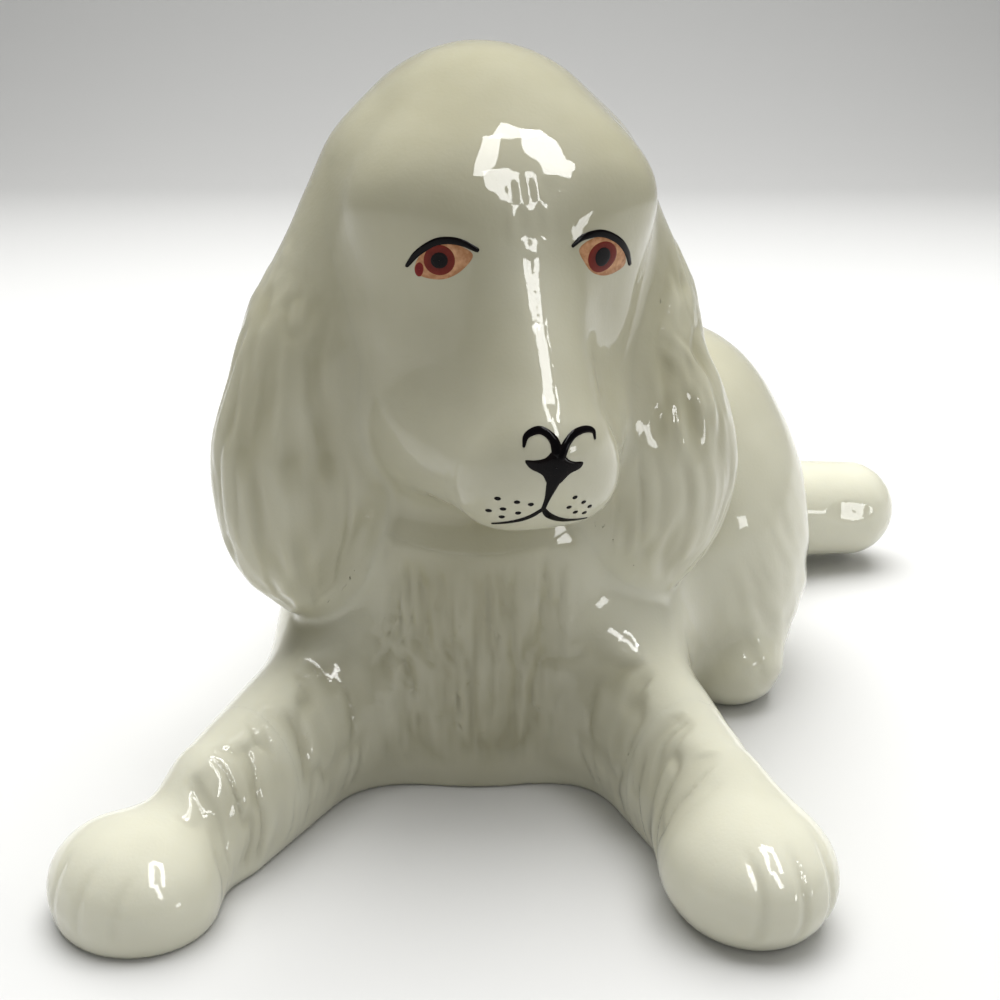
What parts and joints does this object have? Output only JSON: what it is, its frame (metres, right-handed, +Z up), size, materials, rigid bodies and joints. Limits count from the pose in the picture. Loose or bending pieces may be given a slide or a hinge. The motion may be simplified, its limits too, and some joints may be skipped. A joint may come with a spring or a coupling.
{
  "type": "dog figurine",
  "caption": "Porcelain spaniel lying down with its head turned: hollow glazed castings luted together, with an enamelled face.",
  "frame": {"origin": "middle of the figurine's outline on the ground, in the plane of its flat sole", "axes": "+Z up, -Y the way the chest faces, +X to the dog's left, where its head turns and its tail lies"},
  "size_m": [0.1849, 0.1835, 0.1389],
  "materials": {
    "porcelain": "glossy clear glaze over white porcelain",
    "porcelain_ear": "glossy clear glaze over combed white porcelain",
    "porcelain_leg": "glossy clear glaze over white porcelain",
    "peach_enamel": "glossy overglaze enamel",
    "dark_red_enamel": "glossy overglaze enamel",
    "red_brown_enamel": "glossy overglaze enamel",
    "black_enamel": "glossy overglaze enamel"
  },
  "bodies": {
    "root": {"torso_casting": "porcelain", "head_casting": "porcelain", "tail_casting": "porcelain", "ear_left": "porcelain_ear", "ear_right": "porcelain_ear", "foreleg_left": "porcelain_leg", "foreleg_right": "porcelain_leg", "eye_white_left": "peach_enamel", "eye_white_right": "peach_enamel", "eye_corner_right": "dark_red_enamel", "iris_left": "red_brown_enamel", "iris_right": "red_brown_enamel", "pupil_left": "black_enamel", "pupil_right": "black_enamel", "lid_line_left": "black_enamel", "lid_line_right": "black_enamel", "nose_mark": "black_enamel", "lip_line_left": "black_enamel", "lip_line_right": "black_enamel", "whisker_spot_left_1": "black_enamel", "whisker_spot_left_2": "black_enamel", "whisker_spot_left_3": "black_enamel", "whisker_spot_left_4": "black_enamel", "whisker_spot_left_5": "black_enamel", "whisker_spot_left_6": "black_enamel", "whisker_spot_right_1": "black_enamel", "whisker_spot_right_2": "black_enamel", "whisker_spot_right_3": "black_enamel", "whisker_spot_right_4": "black_enamel", "whisker_spot_right_5": "black_enamel", "whisker_spot_right_6": "black_enamel", "whisker_spot_right_7": "black_enamel"}
  },
  "joints": []
}
